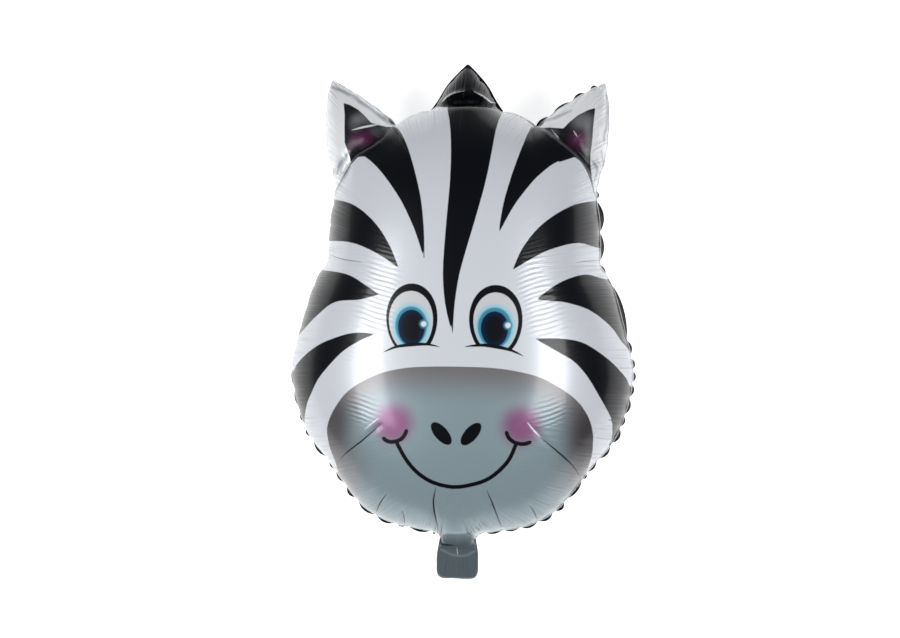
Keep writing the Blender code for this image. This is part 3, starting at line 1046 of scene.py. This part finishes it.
def layer_ink(tree, mask, under, over):
    """Lays one colour over another where the mask is 1."""
    node = tree.nodes.new("ShaderNodeMix")
    node.data_type = "RGBA"
    for socket, value in zip((node.inputs[0], node.inputs[6], node.inputs[7]), (mask, under, over)):
        if isinstance(value, bpy.types.NodeSocket):
            tree.links.new(value, socket)
        else:
            socket.default_value = value
    return node.outputs[2]


# %% [markdown]
# ## Film relief
# Both films have fine waves that run inwards from the weld. They are one node group, built once and used in
# both materials: it puts out their height, for a bump, and a mask of their lines, where the printed film gets
# painted shade.

# %% Film relief group
WAVE_STRETCH = (330.0, 16.0, 1.0)  # waves per metre along the seam and inwards
RIM_WAVES = (0.034, 0.004)  # ways in from the weld between which the waves grow to full strength
FAR_WAVES = (0.12, 0.0)


def film_relief():
    """Fine waves of thin film: noise stretched along the rays, strong near the weld, weak in the middle."""
    group = bpy.data.node_groups.new("film_relief", "ShaderNodeTree")
    group.interface.new_socket("Place", in_out="INPUT", socket_type="NodeSocketVector")
    group.interface.new_socket("Height", in_out="OUTPUT", socket_type="NodeSocketFloat")
    group.interface.new_socket("Lines", in_out="OUTPUT", socket_type="NodeSocketFloat")
    enter = group.nodes.new("NodeGroupInput")
    leave = group.nodes.new("NodeGroupOutput")
    split = add_node(group, "ShaderNodeSeparateXYZ", Vector=enter.outputs["Place"])
    stretch = add_node(group, "ShaderNodeVectorMath", Vector=enter.outputs["Place"])
    stretch.operation = "MULTIPLY"
    stretch.inputs[1].default_value = WAVE_STRETCH
    fine = add_node(group, "ShaderNodeTexNoise", Vector=stretch.outputs[0], Scale=1.0, Detail=2.0)
    fine.inputs["Roughness"].default_value = 0.5
    far_fade = step_mask(group, split.outputs["Y"], *FAR_WAVES)
    rim_fade = step_mask(group, split.outputs["Y"], *RIM_WAVES)
    fade = maths(group, "MULTIPLY_ADD", far_fade, 0.3, rim_fade)
    height = maths(group, "MULTIPLY", fine.outputs["Fac"], fade)
    lines = maths(group, "MULTIPLY", step_mask(group, fine.outputs["Fac"], 0.52, 0.68), rim_fade)
    group.links.new(height, leave.inputs["Height"])
    group.links.new(lines, leave.inputs["Lines"])
    return group


RELIEF = film_relief()
print("node group", RELIEF.name)


def add_relief(tree):
    """Places the relief group in a material, fed with each point's place from the rim."""
    place = tree.nodes.new("ShaderNodeAttribute")
    place.attribute_name = "rim_place"
    relief = tree.nodes.new("ShaderNodeGroup")
    relief.node_tree = RELIEF
    tree.links.new(place.outputs["Vector"], relief.inputs["Place"])
    return relief.outputs


# %% [markdown]
# ## The printed film
# Real foil is printed in layers: pearl white, then the greys and the pink, then black. The material does the
# same with one mask for each ink, and over them lays painted shade and painted highlights for sheen, folds
# and wrinkles. The film is glossy and a little metallic, and the mane and the inside of the ears are duller,
# as they are on the balloon.

# %% Ink colours
WHITE = srgb(217, 221, 228)
# whiter white of the ears' film: a painted sheen of the silver foil there
EAR_SHEEN_WHITE = srgb(244, 246, 249)
BLACK = srgb(14, 16, 22)
MUZZLE_GREY = srgb(146, 164, 172)
MUZZLE_DARK = srgb(124, 121, 123)
# brown-dark colour of the painted shade on the muzzle's flanks
MUZZLE_SHADE_BROWN = srgb(66, 61, 63)
# muzzle grey darkened on the tail as painted shade, for the dark overhead that its flat foil mirrors
TAIL_SHADED_GREY = srgb(92, 103, 109)
CHEEK_PINK = srgb(139, 89, 129)
EYE_WHITE = srgb(210, 212, 216)
EYE_GLOW = srgb(150, 208, 226)
IRIS = srgb(68, 142, 168)
NAVY = srgb(8, 36, 66)
PUPIL = srgb(20, 19, 26)
GLINT = srgb(225, 236, 245)
EAR_DARK = srgb(34, 33, 38)
# grey of the painted sheen spots inside the ears
EAR_SHEEN_GREY = srgb(128, 130, 134)
EAR_MAUVE = srgb(84, 40, 72)
FOLD_SHADE = srgb(36, 40, 46)
# painted shade of the crinkles in the ears' foil and on the tail
CRINKLE_SHADE = srgb(142, 152, 164)
TAIL_GLEAM = srgb(160, 174, 181)
RIDGE_LIGHT = srgb(225, 230, 236)
EDGE = 0.45  # half the width of an ink's edge, in pixels
SOFT_EDGE = 2.2  # the same for the soft strokes
SHARP_EDGE = 0.8  # the same for pupil and glint

# %% Film values
# painted shade along the lines of the fine waves
WRINKLE_SHADE = 0.24  # how much the fine waves' lines darken the print
WHITE_METAL = 0.09
MUZZLE_METAL = 0.13  # more than on the white
MANE_METAL = 0.7
COAT = 0.38
DULL_COAT = 0.3  # how much of the coat is gone on the mane and in the ears
BUMP_DISTANCE = 0.0022
FINE_RIPPLE = 0.09  # height of a fine ripple, as a share of the bump's distance


def ink(tree, name):
    """Mask of a shape whose distance from the edge the points carry."""
    return step_mask(tree, mark(tree, name), -EDGE, EDGE)


def stroke_mask(tree, name, softness=EDGE):
    """Mask of a drawn line: its half width less the distance from its middle line."""
    off_line = maths(tree, "ABSOLUTE", mark(tree, name + "_side"))
    inside = maths(tree, "SUBTRACT", mark(tree, name + "_width"), off_line)
    return step_mask(tree, inside, -softness, softness)


def base_print(tree, muzzle, ear):
    """Inks below the black: white, muzzle greys, cheeks, ears' inner shapes; painted sheen and shade laid in
    too.
    """
    muzzle_inner = step_mask(tree, mark(tree, "muzzle"), -4.0, 42.0)
    muzzle_colour = layer_ink(tree, muzzle_inner, MUZZLE_DARK, MUZZLE_GREY)
    muzzle_colour = layer_ink(tree, mark(tree, "muzzle_shade"), muzzle_colour, MUZZLE_SHADE_BROWN)
    muzzle_colour = layer_ink(tree, mark(tree, "tail"), muzzle_colour, TAIL_SHADED_GREY)
    white = layer_ink(tree, mark(tree, "ear_film"), WHITE, EAR_SHEEN_WHITE)
    colour = layer_ink(tree, muzzle, white, muzzle_colour)
    colour = layer_ink(tree, mark(tree, "cheek"), colour, CHEEK_PINK)
    ear_colour = layer_ink(tree, mark(tree, "ear_sheen"), EAR_DARK, EAR_SHEEN_GREY)
    colour = layer_ink(tree, ear, colour, ear_colour)
    return layer_ink(tree, maths(tree, "MULTIPLY", ear, mark(tree, "ear_pink")), colour, EAR_MAUVE)


def black_and_eyes(tree, colour):
    """The stripes, then each eye from its rim to its glint, then the smile and the lids."""
    colour = layer_ink(tree, ink(tree, "black"), colour, BLACK)
    colour = layer_ink(tree, ink(tree, "eye_rim"), colour, BLACK)
    colour = layer_ink(tree, ink(tree, "eye_white"), colour, EYE_WHITE)
    around_iris = step_mask(tree, mark(tree, "eye_iris"), -6.0, 0.0)
    colour = layer_ink(tree, maths(tree, "MULTIPLY", around_iris, ink(tree, "eye_white")), colour, EYE_GLOW)
    colour = layer_ink(tree, step_mask(tree, mark(tree, "eye_iris"), -1.0, 1.0), colour, IRIS)
    pupil, glint = mark(tree, "eye_pupil"), mark(tree, "eye_glint")
    pupil_colour = layer_ink(tree, step_mask(tree, pupil, 0.5, 7.0), NAVY, PUPIL)
    colour = layer_ink(tree, step_mask(tree, pupil, -SHARP_EDGE, SHARP_EDGE), colour, pupil_colour)
    colour = layer_ink(tree, step_mask(tree, glint, -3.0, 0.0), colour, IRIS)
    colour = layer_ink(tree, step_mask(tree, glint, -SHARP_EDGE, SHARP_EDGE), colour, GLINT)
    for stroke in STROKES:
        colour = layer_ink(tree, stroke_mask(tree, stroke), colour, BLACK)
    return colour


def fold_shades(tree, colour, lines):
    """The drawn lights and shades of crinkles, fine waves, folds and ridges."""
    colour = layer_ink(tree, stroke_mask(tree, "crinkle", SOFT_EDGE), colour, CRINKLE_SHADE)
    colour = layer_ink(tree, stroke_mask(tree, "gleam", SOFT_EDGE), colour, TAIL_GLEAM)
    colour = layer_ink(tree, maths(tree, "MULTIPLY", lines, WRINKLE_SHADE), colour, FOLD_SHADE)
    colour = layer_ink(tree, stroke_mask(tree, "fold"), colour, FOLD_SHADE)
    return layer_ink(tree, stroke_mask(tree, "ridge"), colour, RIDGE_LIGHT)


# %% Printed film
def printed_film():
    """Pearl white film with its print, glossy and a little metallic where the ink lets the foil show."""
    material = bpy.data.materials.new("printed_film")
    material.use_nodes = True
    tree = material.node_tree
    shader = tree.nodes["Principled BSDF"]
    relief = add_relief(tree)
    muzzle, ear, mane = (ink(tree, name) for name in ("muzzle", "ear", "mane"))
    colour = black_and_eyes(tree, base_print(tree, muzzle, ear))
    tree.links.new(fold_shades(tree, colour, relief["Lines"]), shader.inputs["Base Color"])
    metal = maths(tree, "MULTIPLY_ADD", muzzle, MUZZLE_METAL, WHITE_METAL)
    tree.links.new(maths(tree, "MULTIPLY_ADD", mane, MANE_METAL, metal), shader.inputs["Metallic"])
    shader.inputs["Roughness"].default_value = 0.3
    shader.inputs["Specular IOR Level"].default_value = 0.2
    dull = maths(tree, "MAXIMUM", ear, mane)
    tree.links.new(maths(tree, "MULTIPLY_ADD", dull, -DULL_COAT, COAT), shader.inputs["Coat Weight"])
    shader.inputs["Coat Roughness"].default_value = 0.12
    calm_tail = maths(tree, "SUBTRACT", 1.0, mark(tree, "tail"))
    wave_height = maths(tree, "MULTIPLY", relief["Height"], calm_tail)
    fine_wave = maths(tree, "SINE", mark(tree, "fine_phase"))
    fine_wave = maths(tree, "MULTIPLY", fine_wave, mark(tree, "fine_amount"))
    wave_height = maths(tree, "MULTIPLY_ADD", fine_wave, FINE_RIPPLE, wave_height)
    bump = add_node(tree, "ShaderNodeBump", Strength=1.0, Distance=BUMP_DISTANCE, Height=wave_height)
    tree.links.new(bump.outputs["Normal"], shader.inputs["Normal"])
    return material


PRINTED = printed_film()
print("material", PRINTED.name)

# %% Make the front film
film_marks["rim_place"] = place_marks(way_in)
front_film = make_piece("front_film", front.reshape(-1, 3), film_faces(RINGS), film_marks, PRINTED)
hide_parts("foil_balloon")

# %% [markdown]
# ## The back
# The back isn't in the picture. It is the same cut in plain silver film, with the same gathers, and it is
# pressed flat where it rests on the ground. It is made as a second front, turned over at the seam's height.

# %% Plain film
BACK_RINGS = 44
BACK_BUMP_DISTANCE = 0.0004
BACK_SILVER = srgb(158, 162, 168)


def plain_film():
    """Silver film without print."""
    material = bpy.data.materials.new("plain_film")
    material.use_nodes = True
    tree = material.node_tree
    shader = tree.nodes["Principled BSDF"]
    shader.inputs["Base Color"].default_value = BACK_SILVER
    shader.inputs["Metallic"].default_value = 0.75
    shader.inputs["Roughness"].default_value = 0.22
    waves = add_relief(tree)["Height"]
    bump = add_node(tree, "ShaderNodeBump", Strength=1.0, Distance=BACK_BUMP_DISTANCE, Height=waves)
    tree.links.new(bump.outputs["Normal"], shader.inputs["Normal"])
    return material


# %% Make the back film
back_places, back_way = flat_grid(BACK_RINGS)
back_calm = tail_ease(back_places)
back_smooth = np.dstack([back_places, back_calm * pressure_height(back_places)]) + LIFT
back_depth = gather_depth(back_way)
back = back_smooth - grid_normals(back_smooth) * (back_calm * back_depth)[:, :, None]
back[0] = back_smooth[0]
back = lay_on_edge(back, back_way, 1 - back_calm)
back[:, :, 2] = np.maximum(2 * SEAM_HEIGHT - back[:, :, 2], 0.0)
back_faces = film_faces(BACK_RINGS)[:, ::-1]
back_marks = {"rim_place": place_marks(back_way)}
back_film = make_piece("back_film", back.reshape(-1, 3), back_faces, back_marks, plain_film())

# %% [markdown]
# ## The edge piece
# The edge is a thin closed strip: a flat section with nine corners, carried round the outline. Its inner side
# lies between the films, and its outer side follows the lenses. Each lens has a pale line next to the film,
# and outside it the shade of film that curls away from the weld is painted dark.

# %% Seam edge values
EDGE_INNER = 0.0022  # how far the edge piece reaches in under the films
EDGE_THICK = 0.0005
EDGE_FINER = 4  # points of the edge for one of the outline
PALE_FILM = srgb(236, 239, 243)
# colour of the painted shade on lenses of the edge that lean away from the light
EDGE_PAINTED_SHADE = srgb(16, 16, 19)


def seam_edge_material():
    """Film edge, pale or dark as its points say; the dark on the lenses is painted shade."""
    material = bpy.data.materials.new("seam_edge")
    material.use_nodes = True
    tree = material.node_tree
    shader = tree.nodes["Principled BSDF"]
    dark = mark(tree, "dark")
    tree.links.new(layer_ink(tree, dark, PALE_FILM, EDGE_PAINTED_SHADE), shader.inputs["Base Color"])
    shader.inputs["Roughness"].default_value = 0.35
    shader.inputs["Specular IOR Level"].default_value = 0.3
    return material


# %% Make the seam's edge
weld = places[0] + outward * scallop(count)[:, None]
fine_steps = np.arange(AROUND * EDGE_FINER) / EDGE_FINER
around_once = np.arange(AROUND + 1)


def finer(values):
    """Values at the finer steps, on straight lines between the outline's points."""
    closed = np.vstack([values, values[:1]])
    return np.column_stack([np.interp(fine_steps, around_once, closed[:, axis]) for axis in (0, 1)])


reach, edge_dark, inner_dark = edge_profile(fine_steps)
pale_end = np.minimum(EDGE_PALE, reach - 0.0002)
half_section = (0 * reach - EDGE_INNER, pale_end, pale_end + 0.0001, reach - 0.00005)
section = np.array([*half_section, reach, *half_section[::-1]])
side_of_edge = np.array([1.0, 1.0, 1.0, 1.0, 0.0, -1.0, -1.0, -1.0, -1.0])
is_outer_part = np.array([0.0, 0.0, 1.0, 1.0, 1.0, 1.0, 1.0, 0.0, 0.0])
strip = finer(weld) + section[:, :, None] * finer(outward)
strip_height = SEAM_HEIGHT + 0.5 * EDGE_THICK * side_of_edge[:, None] + 0 * section
strip_points = np.dstack([strip + LIFT[:2], strip_height])
numbers = np.arange(section.size).reshape(section.shape)
numbers_in, numbers_out = numbers, np.roll(numbers, -1, axis=0)
ahead_in, ahead_out = np.roll(numbers_in, -1, axis=1), np.roll(numbers_out, -1, axis=1)
strip_faces = np.stack([numbers_in, ahead_in, ahead_out, numbers_out], axis=-1).reshape(-1, 4)
# painted shade on the outer part of each dark lens, and a dark edge round the mane and the tail
dark = np.maximum(is_outer_part[:, None] * edge_dark, inner_dark).ravel()
edge_marks = {"dark": dark}
strip_points = strip_points.reshape(-1, 3)
seam_edge = make_piece("seam_edge", strip_points, strip_faces, edge_marks, seam_edge_material())

# %% [markdown]
# ## Floor and light
# A plain pale floor with a faint glow of its own, and two long soft boxes, one on each side. Their
# reflections are the bright bands down both sides of the face. Soft light from all round, brightest low down
# and beyond the mane, makes the sheen on the black print near the rim. White cards would do the same.

# %% Floor
FLOOR_SIZE = 14.0
FLOOR_GLOW = 0.75  # a little light of its own, as a table lit from below has
floor_mesh = bpy.data.meshes.new("floor")
half = 0.5 * FLOOR_SIZE
floor_corners = [(-half, -half, 0), (half, -half, 0), (half, half, 0), (-half, half, 0)]
floor_mesh.from_pydata(floor_corners, [], [(0, 1, 2, 3)])
floor = bpy.data.objects.new("floor", floor_mesh)
bpy.context.scene.collection.objects.link(floor)
floor_paper = bpy.data.materials.new("floor_paper")
floor_paper.use_nodes = True
paper = floor_paper.node_tree.nodes["Principled BSDF"].inputs
paper["Base Color"].default_value = (0.92, 0.92, 0.92, 1.0)
paper["Roughness"].default_value = 0.9
paper["Emission Color"].default_value = (1.0, 1.0, 1.0, 1.0)
paper["Emission Strength"].default_value = FLOOR_GLOW
floor_mesh.materials.append(floor_paper)

# %% Lights
SKY_TOP = 0.13  # strength of the light from straight above
SKY_HORIZON = 1.5
SKY_LEFT = 0.45  # how much brighter the left horizon is and how much dimmer the right one, as a share
SKY_FAR = 2.0  # how much brighter the horizon beyond the mane is
# name, place, width, length, radiance
SOFT_BOXES = (
    ("left_strip", (-1.06, -0.18, 1.60), 0.60, 1.20, 8.9),
    ("right_strip", (1.04, -0.15, 1.62), 0.72, 1.14, 7.4),
)


def soft_box(name, place, width, length, radiance):
    """An area light that faces the balloon, with its length running from the chin to the mane."""
    light = bpy.data.lights.new(name, "AREA")
    light.shape = "RECTANGLE"
    light.size = width
    light.size_y = length
    light.energy = radiance * math.pi * width * length
    away = (Vector(place) - Vector((0.0, 0.0, SEAM_HEIGHT))).normalized()
    side = Vector((0.0, 1.0, 0.0)).cross(away)
    side = side.normalized() if side.length > 0.3 else Vector((1.0, 0.0, 0.0))
    frame_axes = Matrix((side, away.cross(side), away)).transposed()
    box = bpy.data.objects.new(name, light)
    box.matrix_world = Matrix.Translation(Vector(place)) @ frame_axes.to_4x4()
    bpy.context.scene.collection.objects.link(box)


for box in SOFT_BOXES:
    soft_box(*box)
print(len(SOFT_BOXES), "soft boxes")

# %% Light from all round
world = bpy.data.worlds.new("studio")
world.use_nodes = True
sky = world.node_tree
direction = sky.nodes.new("ShaderNodeTexCoord").outputs["Generated"]
toward = add_node(sky, "ShaderNodeSeparateXYZ", Vector=direction).outputs
low_share = maths(sky, "POWER", maths(sky, "SUBTRACT", 1.0, toward["Z"]), 2.0)
leftward = maths(sky, "MULTIPLY", toward["X"], -SKY_LEFT)
farther = maths(sky, "MAXIMUM", maths(sky, "MULTIPLY", toward["Y"], SKY_FAR), 0.0)
around = maths(sky, "ADD", maths(sky, "ADD", leftward, farther), 1.0)
low_light = maths(sky, "MULTIPLY", low_share, around)
strength = maths(sky, "MULTIPLY_ADD", low_light, SKY_HORIZON - SKY_TOP, SKY_TOP)
sky.links.new(strength, sky.nodes["Background"].inputs["Strength"])
bpy.context.scene.world = world
bpy.context.scene.view_settings.view_transform = "Standard"
print("light from all round, strongest at the horizon:", SKY_HORIZON)
